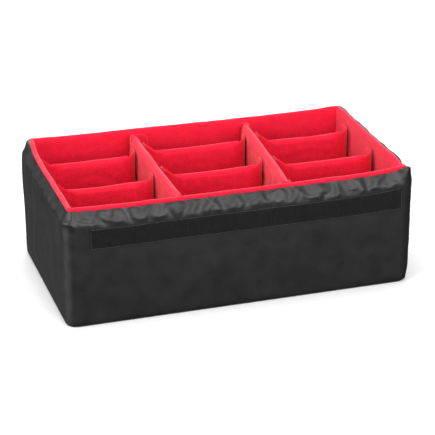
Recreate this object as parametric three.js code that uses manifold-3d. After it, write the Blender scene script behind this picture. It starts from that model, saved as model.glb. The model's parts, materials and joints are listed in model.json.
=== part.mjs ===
// Padded divider insert for a carry-on hard case.
// An open, nylon-covered box of foam boards with a brushed-loop lining, two long padded dividers
// from front to back and six short cross dividers, all held to the lining by hook tape on end tabs.
// Millimetres, +Z up, +X to the right, +Y to the back, origin under the middle of the box.
import * as THREE from 'three';
import { mergeVertices } from 'three/addons/utils/BufferGeometryUtils.js';
import Module from 'manifold-3d';

const wasm = await Module();
wasm.setup();

// The whole insert
const WIDTH = 500;
const DEPTH = 275.5;
const RIM_HEIGHT = 172;
const GAP = 0.3;

// The layers of a wall, from the outside in, and of the floor
const NYLON = 1.2;
const BOARD = 9.5;
const LINING = 2.2;
const BASE_BOARD = 6;
const CORNER_RADIUS = 10;
const SHOULDER_RADIUS = 3;
const SEAM_INSET = 7.7;
const LINING_CORNER_RADIUS = 5.8;

// Hook tape sewn across the front
const STRIP = { length: 447, height: 31, thick: 1.2, middleX: 8, bottomZ: 114.5 };

// Long dividers: where each crosses the middle of the box, how far it leans from straight
// front to back, which way its end tabs fold (+1 right, -1 left), and its back tab's length
const LONG_DIVIDER = { thick: 12.5, topZ: 169.5, tab: 20, bend: 5, taper: 14 };
const LONG_LEFT = { x: -85.3, lean: 0, fold: 1, backTab: 20 };
const LONG_RIGHT = { x: 79.4, lean: THREE.MathUtils.degToRad(4.1), fold: -1, backTab: 14 };

// Cross dividers: two in each of the three bays, at these distances behind the middle of the box
const CROSS_DIVIDER = { thick: 11, topZ: 158, tab: 15, bend: 11, taper: 14 };
const CROSS_Y = {
  left: { back: 69.5, front: -27.5 },
  middle: { back: 76.5, front: -20 },
  right: { back: 66, front: -31 },
};

// Divider covers and end tabs. A cover thins towards its ends on the side that the tabs fold to.
const COVER_CLOTH = 1.6;
const END_THICK = 4;
const TAB_THICK = 2.6;
const TAB_DROP = 1.5;
const HOOK_THICK = 1;
const HOOK_MARGIN = 3;

// Places that follow from the sizes
const shellDepth = DEPTH - STRIP.thick - GAP;
const shellMiddleY = (STRIP.thick + GAP) / 2;
const boardInset = NYLON + GAP;
const liningInset = boardInset + BOARD + GAP;
const innerInset = liningInset + LINING;
const innerX = WIDTH / 2 - innerInset;
const innerY = shellDepth / 2 - innerInset;
const baseBoardZ = NYLON + GAP;
const liningZ = baseBoardZ + BASE_BOARD + GAP;
const floorZ = liningZ + LINING;
const dividerZ = floorZ + GAP;
const boardTopZ = RIM_HEIGHT - SHOULDER_RADIUS;
const tabStandoff = GAP + HOOK_THICK + GAP + TAB_THICK / 2;

const COLOURS = {
  nylon: 0x2b2a2a,
  foam: 0x55565a,
  loop: 0xd3122c,
  hook: 0x1b1a1a,
};

function clothMaterial(colour) {
  return new THREE.MeshStandardMaterial({ color: colour, roughness: 0.85, metalness: 0 });
}

function piece(name, geometry, colour) {
  const mesh = new THREE.Mesh(geometry, clothMaterial(colour));
  mesh.name = name;
  return mesh;
}

// Rounded-rectangle outline as points with outward normals, counter-clockwise seen from above
function ringPath(width, depth, radius) {
  const arcSteps = 4;
  const quarter = Math.PI / 2;
  const centres = [[1, 1], [-1, 1], [-1, -1], [1, -1]];
  const path = [];
  centres.forEach(([sx, sy], corner) => {
    const cx = sx * (width / 2 - radius);
    const cy = sy * (depth / 2 - radius);
    for (let i = 0; i <= arcSteps; i += 1) {
      const angle = quarter * (corner + i / arcSteps);
      const nx = Math.cos(angle);
      const ny = Math.sin(angle);
      path.push({ x: cx + radius * nx, y: cy + radius * ny, nx, ny });
    }
  });
  return path;
}

// A closed band: a section of [inset, z] points, listed anticlockwise as seen with the outside of
// the band on the right, carried round a path
function ringBand(path, section) {
  const positions = [];
  const indices = [];
  const rows = section.length;
  path.forEach((p) => {
    section.forEach(([inset, z]) => {
      positions.push(p.x - inset * p.nx, p.y - inset * p.ny, z);
    });
  });
  path.forEach((p, i) => {
    const here = i * rows;
    const next = ((i + 1) % path.length) * rows;
    for (let j = 0; j < rows; j += 1) {
      const k = (j + 1) % rows;
      indices.push(here + j, next + j, next + k);
      indices.push(here + j, next + k, here + k);
    }
  });
  const geometry = new THREE.BufferGeometry();
  geometry.setAttribute('position', new THREE.Float32BufferAttribute(positions, 3));
  geometry.setIndex(indices);
  geometry.computeVertexNormals();
  return geometry;
}

// Quarter turn of a section's edge, from straight out to straight up
function shoulderArc(centreInset, centreZ, radius) {
  const steps = 4;
  const points = [];
  for (let i = 0; i <= steps; i += 1) {
    const angle = Math.PI / 2 * i / steps;
    points.push([centreInset - radius * Math.cos(angle), centreZ + radius * Math.sin(angle)]);
  }
  return points;
}

function roundedPlate(width, depth, radii, thick) {
  const x = width / 2;
  const y = depth / 2;
  const shape = new THREE.Shape();
  const corners = [[x, -y, 0], [x, y, 1], [-x, y, 2], [-x, -y, 3]];
  corners.forEach(([cx, cy, turn]) => {
    const radius = radii[turn];
    const start = (turn - 1) * Math.PI / 2;
    if (radius > 0) {
      const ax = cx - Math.sign(cx) * radius;
      const ay = cy - Math.sign(cy) * radius;
      shape.absarc(ax, ay, radius, start, start + Math.PI / 2, false);
    } else if (turn === 0) {
      shape.moveTo(cx, cy);
    } else {
      shape.lineTo(cx, cy);
    }
  });
  return new THREE.ExtrudeGeometry(shape, { depth: thick, bevelEnabled: false, curveSegments: 4 });
}

function outerWrap() {
  const path = ringPath(WIDTH, shellDepth, CORNER_RADIUS);
  const bottomZ = NYLON + GAP;
  const lipZ = RIM_HEIGHT - NYLON;
  const shoulderZ = RIM_HEIGHT - SHOULDER_RADIUS;
  const outside = shoulderArc(SHOULDER_RADIUS, shoulderZ, SHOULDER_RADIUS);
  const inside = shoulderArc(SHOULDER_RADIUS, shoulderZ, SHOULDER_RADIUS - NYLON).reverse();
  const section = [[0, bottomZ], ...outside, [SEAM_INSET, RIM_HEIGHT], [SEAM_INSET, lipZ]];
  section.push(...inside, [NYLON, bottomZ]);
  return piece('outer_wrap', ringBand(path, section), COLOURS.nylon);
}

function outerBase() {
  const radii = [CORNER_RADIUS, CORNER_RADIUS, CORNER_RADIUS, CORNER_RADIUS];
  return piece('outer_base_panel', roundedPlate(WIDTH, shellDepth, radii, NYLON), COLOURS.nylon);
}

function foamBoards() {
  const boards = new THREE.Group();
  const outerRadius = CORNER_RADIUS - boardInset;
  const length = WIDTH - 2 * boardInset;
  const depth = shellDepth - 2 * boardInset;
  const wallZ = liningZ;
  const wallHeight = boardTopZ - wallZ;
  const allRound = [outerRadius, outerRadius, outerRadius, outerRadius];
  const base = piece('foam_board_base', roundedPlate(length, depth, allRound, BASE_BOARD), COLOURS.foam);
  base.position.z = baseBoardZ;
  const frontRadii = [outerRadius, 0, 0, outerRadius];
  const front = piece('foam_board_front', roundedPlate(length, BOARD, frontRadii, wallHeight), COLOURS.foam);
  front.position.set(0, -(depth - BOARD) / 2, wallZ);
  const backRadii = [0, outerRadius, outerRadius, 0];
  const back = piece('foam_board_back', roundedPlate(length, BOARD, backRadii, wallHeight), COLOURS.foam);
  back.position.set(0, (depth - BOARD) / 2, wallZ);
  boards.add(base, front, back);
  const sideLength = depth - 2 * (BOARD + GAP);
  ['left', 'right'].forEach((side, i) => {
    const geometry = new THREE.BoxGeometry(BOARD, sideLength, wallHeight);
    const board = piece(`foam_board_${side}`, geometry, COLOURS.foam);
    board.position.set((i * 2 - 1) * (length - BOARD) / 2, 0, wallZ + wallHeight / 2);
    boards.add(board);
  });
  return boards;
}

// The wall lining is one strip round the inside, whose top edge laps over the boards to the seam
function liningWrap() {
  const seamWidth = WIDTH - 2 * (SEAM_INSET + GAP);
  const seamDepth = shellDepth - 2 * (SEAM_INSET + GAP);
  const path = ringPath(seamWidth, seamDepth, LINING_CORNER_RADIUS);
  const inside = innerInset - SEAM_INSET - GAP;
  const outside = inside - LINING;
  const lipZ = RIM_HEIGHT - LINING;
  const section = [[outside, liningZ], [outside, lipZ], [0, lipZ], [0, RIM_HEIGHT], [inside, RIM_HEIGHT]];
  section.push([inside, liningZ]);
  return piece('lining_wrap', ringBand(path, section), COLOURS.loop);
}

function liningBase() {
  const width = 2 * (innerX - GAP);
  const depth = 2 * (innerY - GAP);
  const base = piece('lining_base_panel', roundedPlate(width, depth, [0, 0, 0, 0], LINING), COLOURS.loop);
  base.position.z = liningZ;
  return base;
}

function frontHookStrip() {
  const geometry = new THREE.BoxGeometry(STRIP.length, STRIP.thick, STRIP.height);
  const strip = piece('front_hook_strip', geometry, COLOURS.hook);
  const y = -shellDepth / 2 - GAP - STRIP.thick / 2;
  strip.position.set(STRIP.middleX, y, STRIP.bottomZ + STRIP.height / 2);
  return strip;
}

function toManifold(geometry) {
  geometry.deleteAttribute('normal');
  geometry.deleteAttribute('uv');
  const merged = mergeVertices(geometry, 1e-4);
  const vertProperties = new Float32Array(merged.attributes.position.array);
  const triVerts = new Uint32Array(merged.index.array);
  return new wasm.Manifold(new wasm.Mesh({ numProp: 3, vertProperties, triVerts }));
}

function toGeometry(solid) {
  const mesh = solid.getMesh();
  const geometry = new THREE.BufferGeometry();
  geometry.setAttribute('position', new THREE.BufferAttribute(new Float32Array(mesh.vertProperties), 3));
  geometry.setIndex(new THREE.BufferAttribute(new Uint32Array(mesh.triVerts), 1));
  geometry.computeVertexNormals();
  return geometry;
}

// Plan of a divider, or at an inset the plan of what is inside it. The slab lies along X and its
// ends thin down on the fold side, +1 for +Y and -1 for -Y.
function dividerPlan(fromX, toX, size, fold, inset) {
  const rise = size.thick - END_THICK;
  const slope = Math.hypot(size.taper, rise);
  const low = -size.thick / 2;
  const lineAt = size.taper * END_THICK - inset * slope;
  const endY = low + (lineAt + inset * rise) / size.taper;
  const topY = size.thick / 2 - inset;
  const taper = (size.taper * (size.thick - inset) - lineAt) / rise;
  const points = [
    [fromX + inset, low + inset],
    [toX - inset, low + inset],
    [toX - inset, endY],
    [toX - taper, topY],
    [fromX + taper, topY],
    [fromX + inset, endY],
  ];
  return new THREE.Shape(points.map(([x, y]) => new THREE.Vector2(x, fold * y)));
}

// The foam inside a divider's cover, or with a smaller inset, the slot that it sits in
function coreBlock(fromX, toX, size, fold, inset, tall) {
  const plan = dividerPlan(fromX, toX, size, fold, inset);
  return new THREE.ExtrudeGeometry(plan, { depth: tall, bevelEnabled: false });
}

// A divider's cover: a slab along X with a half-round top, thinned ends and a slot from below
function dividerCover(fromX, toX, size, fold, height) {
  const half = size.thick / 2;
  const section = new THREE.Shape();
  section.moveTo(-half, 0);
  section.lineTo(half, 0);
  section.absarc(0, height - half, half, 0, Math.PI, false);
  const length = toX - fromX;
  const slab = new THREE.ExtrudeGeometry(section, { depth: length, bevelEnabled: false, curveSegments: 10 });
  slab.rotateX(Math.PI / 2);
  slab.rotateZ(Math.PI / 2);
  slab.translate(fromX, 0, 0);
  const outline = dividerPlan(fromX, toX, size, fold, 0);
  const outside = new THREE.ExtrudeGeometry(outline, { depth: height + GAP, bevelEnabled: false });
  const slot = coreBlock(fromX, toX, size, fold, COVER_CLOTH, height - half + 2 * GAP);
  slot.translate(0, 0, -GAP);
  const whole = toManifold(slab).intersect(toManifold(outside));
  return toGeometry(whole.subtract(toManifold(slot)));
}

// Plan of an end tab: from its rounded root at the origin it heads along +X, bends through an
// angle (positive to the left) and runs on straight
function tabShape(turn, bend, straight) {
  const half = TAB_THICK / 2;
  const side = Math.sign(turn);
  const steps = 6;
  const centreLine = [{ x: 0, y: 0, heading: 0 }];
  for (let i = 1; i <= steps; i += 1) {
    const heading = turn * i / steps;
    const x = bend * Math.sin(Math.abs(heading));
    const y = side * bend * (1 - Math.cos(heading));
    centreLine.push({ x, y, heading });
  }
  const last = centreLine[steps];
  const endX = last.x + straight * Math.cos(turn);
  const endY = last.y + straight * Math.sin(turn);
  centreLine.push({ x: endX, y: endY, heading: turn });
  const offset = (p, d) => new THREE.Vector2(p.x - d * Math.sin(p.heading), p.y + d * Math.cos(p.heading));
  const right = centreLine.map((p) => offset(p, -half));
  const left = centreLine.map((p) => offset(p, half)).reverse();
  const rootSteps = 4;
  const root = [];
  for (let i = 1; i < rootSteps; i += 1) {
    const angle = Math.PI / 2 + Math.PI * i / rootSteps;
    root.push(new THREE.Vector2(half * Math.cos(angle), half * Math.sin(angle)));
  }
  return new THREE.Shape([...right, ...left, ...root]);
}

// An end tab with the hook tape sewn to the face that meets the wall. It hinges at its root.
function endTab(name, turn, bend, straight, height) {
  const group = new THREE.Group();
  const tall = height - TAB_DROP;
  const shape = tabShape(turn, bend, straight);
  const geometry = new THREE.ExtrudeGeometry(shape, { depth: tall, bevelEnabled: false });
  const hookTall = tall - 2 * HOOK_MARGIN;
  const hook = new THREE.BoxGeometry(straight - HOOK_MARGIN, HOOK_THICK, hookTall);
  const side = Math.sign(turn);
  hook.translate((straight + HOOK_MARGIN) / 2, -side * (TAB_THICK / 2 + GAP + HOOK_THICK / 2), tall / 2);
  hook.rotateZ(turn);
  const bendX = bend * Math.sin(Math.abs(turn));
  const bendY = side * bend * (1 - Math.cos(turn));
  hook.translate(bendX, bendY, 0);
  group.add(piece(`${name}_tab`, geometry, COLOURS.loop));
  group.add(piece(`${name}_hook`, hook, COLOURS.hook));
  return group;
}

// A tab's root lies in line with the face of its divider that the tab folds away from
function rootOffset(size, fold) {
  return -fold * (size.thick - TAB_THICK) / 2;
}

// A divider lies along its own +X from one tab's root to the other's and carries a tab at each
// end. Each tab is { name, rootX, turn, straight }, and the first one heads towards -X.
function divider(name, size, fold, startTab, endTabSpec) {
  const group = new THREE.Group();
  const height = size.topZ - dividerZ;
  const clear = TAB_THICK / 2 + GAP;
  const fromX = startTab.rootX + clear;
  const toX = endTabSpec.rootX - clear;
  const cover = dividerCover(fromX, toX, size, fold, height);
  const core = coreBlock(fromX, toX, size, fold, COVER_CLOTH + GAP, height - size.thick / 2);
  group.add(piece(`${name}_cover`, cover, COLOURS.loop));
  group.add(piece(`${name}_core`, core, COLOURS.foam));
  [startTab, endTabSpec].forEach((spec, i) => {
    const tab = endTab(`${name}_${spec.name}`, spec.turn, size.bend, spec.straight, height);
    tab.rotation.z = i === 0 ? Math.PI : 0;
    tab.position.set(spec.rootX, rootOffset(size, fold), 0);
    group.add(tab);
  });
  group.position.z = dividerZ;
  return group;
}

// Distance along a divider from its tab's root to the wall that the tab bends to lie on
function rootToWall(turn, bend) {
  const square = Math.abs(turn);
  return bend * Math.tan(square / 2) + tabStandoff / Math.sin(square);
}

// A long divider's own +X runs from front to back, so a fold to the right is towards its own -Y
function longDivider(name, place) {
  const quarter = Math.PI / 2;
  const bend = LONG_DIVIDER.bend;
  const fold = -place.fold;
  const across = rootOffset(LONG_DIVIDER, fold) * Math.sin(place.lean);
  const backTurn = fold * quarter + place.lean;
  const frontTurn = -fold * quarter + place.lean;
  const backX = (innerY - across) / Math.cos(place.lean) - rootToWall(backTurn, bend);
  const frontX = (-innerY - across) / Math.cos(place.lean) + rootToWall(frontTurn, bend);
  const front = { name: 'front', rootX: frontX, turn: frontTurn, straight: LONG_DIVIDER.tab };
  const back = { name: 'back', rootX: backX, turn: backTurn, straight: place.backTab };
  const group = divider(name, LONG_DIVIDER, fold, front, back);
  group.rotation.z = quarter - place.lean;
  group.position.x = place.x;
  return group;
}

// The two faces that bound each bay: where each crosses the middle of the box, and its lean
function bays() {
  const half = LONG_DIVIDER.thick / 2;
  const face = (place, side) => ({ x: place.x + side * half / Math.cos(place.lean), lean: place.lean });
  return {
    left: [{ x: -innerX, lean: 0 }, face(LONG_LEFT, -1)],
    middle: [face(LONG_LEFT, 1), face(LONG_RIGHT, -1)],
    right: [face(LONG_RIGHT, 1), { x: innerX, lean: 0 }],
  };
}

// A cross divider's tabs both bend towards the back and lie on the faces beside it
function crossDivider(name, [leftFace, rightFace], y) {
  const quarter = Math.PI / 2;
  const bend = CROSS_DIVIDER.bend;
  const fold = 1;
  const rootY = y + rootOffset(CROSS_DIVIDER, fold);
  const leftTurn = -quarter - leftFace.lean;
  const rightTurn = quarter - rightFace.lean;
  const leftX = leftFace.x + rootY * Math.tan(leftFace.lean) + rootToWall(leftTurn, bend);
  const rightX = rightFace.x + rootY * Math.tan(rightFace.lean) - rootToWall(rightTurn, bend);
  const left = { name: 'left', rootX: leftX, turn: leftTurn, straight: CROSS_DIVIDER.tab };
  const right = { name: 'right', rootX: rightX, turn: rightTurn, straight: CROSS_DIVIDER.tab };
  const group = divider(name, CROSS_DIVIDER, fold, left, right);
  group.position.y = y;
  return group;
}

const insert = new THREE.Group();
insert.position.y = shellMiddleY;
insert.add(outerWrap(), outerBase(), foamBoards(), liningWrap(), liningBase(), frontHookStrip());
insert.add(longDivider('long_left', LONG_LEFT), longDivider('long_right', LONG_RIGHT));
Object.entries(bays()).forEach(([bay, faces]) => {
  Object.entries(CROSS_Y[bay]).forEach(([row, y]) => {
    insert.add(crossDivider(`cross_${bay}_${row}`, faces, y));
  });
});

export default insert;
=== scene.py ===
# Padded divider insert for an equipment case: a nylon box on foam boards with a brushed loop
# lining, eight padded dividers that press onto the lining, and hook tape across the front.
# Metres, in the part's own frame: +X right, +Y back, +Z up.
import json
import math

import bmesh
import bpy
import numpy as np
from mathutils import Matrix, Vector, noise

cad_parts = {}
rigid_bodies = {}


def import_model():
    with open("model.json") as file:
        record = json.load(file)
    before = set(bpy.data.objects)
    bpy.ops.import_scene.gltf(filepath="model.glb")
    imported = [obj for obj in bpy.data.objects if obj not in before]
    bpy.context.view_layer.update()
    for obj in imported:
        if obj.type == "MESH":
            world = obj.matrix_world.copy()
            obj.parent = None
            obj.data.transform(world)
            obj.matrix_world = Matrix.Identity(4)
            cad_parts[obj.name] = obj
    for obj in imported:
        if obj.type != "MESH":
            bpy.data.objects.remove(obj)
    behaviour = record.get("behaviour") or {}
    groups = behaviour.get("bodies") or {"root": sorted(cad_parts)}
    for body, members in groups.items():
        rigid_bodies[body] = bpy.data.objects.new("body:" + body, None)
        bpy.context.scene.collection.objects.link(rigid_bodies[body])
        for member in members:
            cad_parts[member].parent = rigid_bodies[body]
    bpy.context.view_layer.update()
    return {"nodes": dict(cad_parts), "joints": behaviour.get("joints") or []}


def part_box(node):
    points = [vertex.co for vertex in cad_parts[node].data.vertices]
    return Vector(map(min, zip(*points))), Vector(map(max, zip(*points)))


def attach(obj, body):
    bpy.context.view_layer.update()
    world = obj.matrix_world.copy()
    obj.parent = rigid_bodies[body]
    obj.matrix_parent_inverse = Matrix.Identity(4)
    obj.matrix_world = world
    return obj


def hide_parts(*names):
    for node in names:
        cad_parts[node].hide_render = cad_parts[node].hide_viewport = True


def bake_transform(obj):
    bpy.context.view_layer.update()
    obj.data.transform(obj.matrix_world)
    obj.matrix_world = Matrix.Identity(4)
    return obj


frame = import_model()

# ---------------------------------------------------------------------------------------------
# The table: a plain pale sheet under the insert, with soft lights overhead, in front, behind and
# to the left, in a white room that is dark below the table. The camera has a long lens and stands
# a little to the left.
PALE = (0.97, 0.97, 0.97, 1)
TABLE_REACH = 7.0


def plain_material(name, colour, roughness):
    """A new material, and its shader."""
    material = bpy.data.materials.new(name)
    material.use_nodes = True
    shader = material.node_tree.nodes["Principled BSDF"]
    shader.inputs["Base Color"].default_value = colour
    shader.inputs["Roughness"].default_value = roughness
    return material, shader


def soft_light(name, place, aim, size, power):
    """A square soft light that faces the aim."""
    bpy.ops.object.light_add(type="AREA", location=place)
    light = bpy.context.object
    light.name = name
    light.data.shape = "SQUARE"
    light.data.size = size
    light.data.energy = power
    light.rotation_euler = (Vector(aim) - Vector(place)).to_track_quat("-Z", "Y").to_euler()
    return light


bpy.ops.object.select_all(action="DESELECT")
bpy.ops.mesh.primitive_plane_add(size=TABLE_REACH, location=(0, 0, 0))
table_top = bpy.context.object
table_top.name = "table_top"
table_material, _ = plain_material("pale table", PALE, 0.9)
table_top.data.materials.append(table_material)

# Coated black cloth is a poor mirror, and a white table in it would turn it grey.
table_top.visible_glossy = False
table_top.visible_diffuse = False

MIDDLE = (0, 0, 0.09)
soft_light("overhead", (-0.1, 0.1, 1.9), MIDDLE, 1.6, 23)
soft_light("front", (0.55, -2.35, 0.95), MIDDLE, 1.9, 54)
soft_light("behind", (0.35, 2.3, 0.95), MIDDLE, 1.5, 26)
soft_light("left side", (-2.1, -0.7, 0.8), MIDDLE, 1.4, 31)

ROOM_BELOW, ROOM_ABOVE = 0.04, 0.42
LOW_LEFT_GLOW = 0.9
room = bpy.data.worlds.new("white room")
bpy.context.scene.world = room
room.use_nodes = True
sky = room.node_tree
direction = sky.nodes.new("ShaderNodeTexCoord")
split = sky.nodes.new("ShaderNodeSeparateXYZ")
fade = sky.nodes.new("ShaderNodeMapRange")
fade.inputs["From Min"].default_value = -0.05
fade.inputs["From Max"].default_value = 0.25
fade.inputs["To Min"].default_value = ROOM_BELOW
fade.inputs["To Max"].default_value = ROOM_ABOVE
sky.links.new(direction.outputs["Generated"], split.inputs["Vector"])
sky.links.new(split.outputs["Z"], fade.inputs["Value"])
low_left = sky.nodes.new("ShaderNodeMapRange")
low_left.inputs["From Min"].default_value = -0.62
low_left.inputs["From Max"].default_value = -0.85
low_left.inputs["To Max"].default_value = LOW_LEFT_GLOW
sky.links.new(split.outputs["X"], low_left.inputs["Value"])
both = sky.nodes.new("ShaderNodeMath")
sky.links.new(fade.outputs["Result"], both.inputs[0])
sky.links.new(low_left.outputs["Result"], both.inputs[1])
sky.links.new(both.outputs["Value"], sky.nodes["Background"].inputs["Strength"])
sky.nodes["Background"].inputs["Color"].default_value = (1, 1, 1, 1)
bpy.context.scene.view_settings.view_transform = "Standard"

CAMERA_TURN = math.radians(-17.651)
CAMERA_RISE = math.radians(23.579)
CAMERA_DISTANCE = 2.5972
CAMERA_AIM = Vector((0, 0, 0.085))
towards_camera = Vector((
    math.sin(CAMERA_TURN) * math.cos(CAMERA_RISE),
    -math.cos(CAMERA_TURN) * math.cos(CAMERA_RISE),
    math.sin(CAMERA_RISE),
))
bpy.ops.object.camera_add(location=CAMERA_AIM + CAMERA_DISTANCE * towards_camera)
camera = bpy.context.object
camera.rotation_euler = (-towards_camera).to_track_quat("-Z", "Y").to_euler()
camera.data.sensor_width = 36
camera.data.lens = 148.97
camera.data.shift_x = 0.01074
camera.data.shift_y = -0.01358
bpy.context.scene.camera = camera

# ---------------------------------------------------------------------------------------------
# Foam boards: five stiff closed-cell boards that stand inside the cloth and give the insert its
# walls and floor. They are cut square, and the cloth pulls their top edges round.
MM = 0.001
SHELL_MIDDLE_Y = (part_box("outer_wrap")[0].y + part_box("outer_wrap")[1].y) / 2
SHELL_HALF_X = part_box("outer_wrap")[1].x
SHELL_HALF_Y = (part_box("outer_wrap")[1].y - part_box("outer_wrap")[0].y) / 2
RIM_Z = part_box("outer_wrap")[1].z
SHOULDER_START_Z = 147 * MM
SHOULDER_DEPTH = 8.4 * MM
SHOULDER_TALL = 23 * MM
BOARD_TOP_SHARE = 0.7
BOARD_CLEAR = 2.4 * MM
BOARD_THICK = 9.5 * MM
BOARD_INSIDE_X, BOARD_INSIDE_Y = 239 * MM, 126.2 * MM
BOARD_CORNER = 9.2 * MM
WRAP_CORNER = 15 * MM
RIGHT_BOW, LEFT_BOW, BACK_BOW, FRONT_BOW = 2.6 * MM, 1.2 * MM, 1.4 * MM, 1.3 * MM
FRONT_SAG, OTHER_SAG = 2.6 * MM, 0.8 * MM
FRONT_LEFT_LIFT, FRONT_RIGHT_LIFT, BACK_LEFT_LIFT = 0.8 * MM, 5.0 * MM, 1.6 * MM
BACK_LIFT, BACK_LIFT_LESS, RIGHT_LIFT, FRONT_RIGHT_DIP = 3.0 * MM, 2.0 * MM, 2.0 * MM, 1.6 * MM
CORNER_PULL, CORNER_BULGE, STUFFED_CORNER, RIGHT_SPREAD = 4.2 * MM, 1.8 * MM, 4.2 * MM, 1.6 * MM


def alone(piece):
    """Leave only this piece selected, because an operator acts on all that is selected."""
    bpy.ops.object.select_all(action="DESELECT")
    piece.select_set(True)
    bpy.context.view_layer.objects.active = piece


def block(name, low, high):
    """A box between two corners, with its place in its mesh."""
    low, high = Vector(low), Vector(high)
    bpy.ops.object.select_all(action="DESELECT")
    bpy.ops.mesh.primitive_cube_add(size=1, location=(low + high) / 2, scale=high - low)
    piece = bpy.context.object
    piece.name = name
    bpy.ops.object.transform_apply(location=True, rotation=True, scale=True)
    return piece


def pick(piece, kind, wanted):
    """Open a piece for editing with the faces or edges selected whose middle and way are wanted."""
    alone(piece)
    bpy.ops.object.mode_set(mode="EDIT")
    bpy.ops.mesh.select_mode(type=kind)
    bpy.ops.mesh.select_all(action="DESELECT")
    mesh = bmesh.from_edit_mesh(piece.data)
    if kind == "FACE":
        for face in mesh.faces:
            face.select_set(bool(wanted(face.calc_center_median(), face.normal)))
    else:
        for edge in mesh.edges:
            a, b = edge.verts[0].co, edge.verts[1].co
            edge.select_set(bool(wanted((a + b) / 2, (b - a).normalized())))
    bmesh.update_edit_mesh(piece.data)


def close():
    bpy.ops.object.mode_set(mode="OBJECT")


def cut_along(piece, axis, cuts, where=lambda middle: True):
    """Cut the edges that run along an axis into equal parts."""
    pick(piece, "EDGE", lambda middle, way: abs(way[axis]) > 0.99 and where(middle))
    bpy.ops.mesh.subdivide(number_cuts=cuts)
    close()


def finish_with(piece, kind, **values):
    """Put a modifier on a piece and apply it."""
    alone(piece)
    modifier = piece.modifiers.new(kind.title(), kind)
    for name, value in values.items():
        setattr(modifier, name, value)
    bpy.ops.object.modifier_apply(modifier=modifier.name)


def points_of(piece):
    flat = np.empty(len(piece.data.vertices) * 3, np.float32)
    piece.data.vertices.foreach_get("co", flat)
    return flat.reshape(-1, 3).astype(float)


def put_points(piece, points):
    piece.data.vertices.foreach_set("co", points.astype(np.float32).ravel())
    piece.data.update()


def ease(value, low, high):
    """0 below low, 1 above high, and a smooth step between."""
    t = np.clip((value - low) / (high - low), 0, 1)
    return t * t * (3 - 2 * t)


def cloudy(points, size, seed, stretch=(1, 1, 1)):
    """Smooth noise, about -1 to 1, with lumps of about that size."""
    scaled = points / size / np.array(stretch, float) + seed * 17.31
    return np.array([noise.noise(Vector(p)) for p in scaled]) * 1.6


def near(gap, reach):
    """1 at a place, and smoothly less with the gap from it."""
    return np.exp(-(gap / reach) ** 2)


def settle(points):
    """Move points of the shell as its cloth and foam have settled: the walls bowed out a little,
    the rim lower along the front than at its corners, the front right corner pulled up and
    stuffed full, and the left wall bulged near the back with its top pulled in."""
    x, y, z = points[:, 0], points[:, 1] - SHELL_MIDDLE_Y, points[:, 2]
    across, deep = x / SHELL_HALF_X, y / SHELL_HALF_Y
    from_left, from_right = SHELL_HALF_X + x, SHELL_HALF_X - x
    from_front, from_back = SHELL_HALF_Y + y, SHELL_HALF_Y - y

    tall = np.sin(np.pi * np.clip(z / RIM_Z, 0, 1) ** 0.85)
    side_wall = ease(np.abs(across), 0.82, 0.93) * np.sign(x)
    long_wall = ease(np.abs(deep), 0.74, 0.88) * np.sign(y)
    side_bow = np.where(x > 0, RIGHT_BOW, LEFT_BOW) * tall * (1 - deep ** 2)
    long_bow = np.where(y > 0, BACK_BOW, FRONT_BOW) * tall * (1 - across ** 2)

    front, back = ease(-deep, 0.55, 0.85), ease(deep, 0.55, 0.85)
    right = ease(across, 0.82, 0.93) * ease(deep, -1, -0.7)
    front_left = near(from_left, 30 * MM) * near(from_front, 16 * MM)
    front_right = near(from_right, 42 * MM) * near(from_front, 17 * MM)
    beside_it = near(from_right, 40 * MM) * near(from_front - 30.4 * MM, 16 * MM)
    back_left = near(from_left, 60 * MM) * near(from_back, 45 * MM)
    stuffed = near(from_right, 40 * MM) * near(from_front, 45 * MM)
    bulge = near(from_left, 60 * MM) * near(z - 0.125, 0.04) * ease(deep, 0, 1)

    rise = -FRONT_SAG * (1 - np.abs(across) ** 5) * front
    rise -= OTHER_SAG * (1 - across ** 2) * (1 - front)
    rise += back * (BACK_LIFT - BACK_LIFT_LESS * ease(across, -0.4, 0.4)) * (1 - 0.6 * right)
    rise += RIGHT_LIFT * right - FRONT_RIGHT_DIP * beside_it
    rise += FRONT_LEFT_LIFT * front_left + FRONT_RIGHT_LIFT * front_right + BACK_LEFT_LIFT * back_left
    moved = points.copy()
    moved[:, 0] += side_wall * side_bow + RIGHT_SPREAD * right * ease(z, 0.1, 0.17)
    moved[:, 0] += CORNER_PULL * back_left * ease(z, 0.14, 0.17) - CORNER_BULGE * bulge
    moved[:, 0] += STUFFED_CORNER * stuffed * ease(z, -0.02, 0.03) * (1 - 0.35 * ease(z, 0.14, 0.172))
    moved[:, 1] += long_wall * long_bow
    moved[:, 2] += ease(z, 0.095, 0.166) * rise
    return moved


def shoulder_inset(z):
    """How far the outside has drawn in at a height, where the cloth pulls over the top edge."""
    rise = np.clip((z - SHOULDER_START_Z) / SHOULDER_TALL, 0, 1)
    return SHOULDER_DEPTH * (0.3 * rise + 0.7 * rise ** 2) * ease(rise, -0.3, 0.25)


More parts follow.
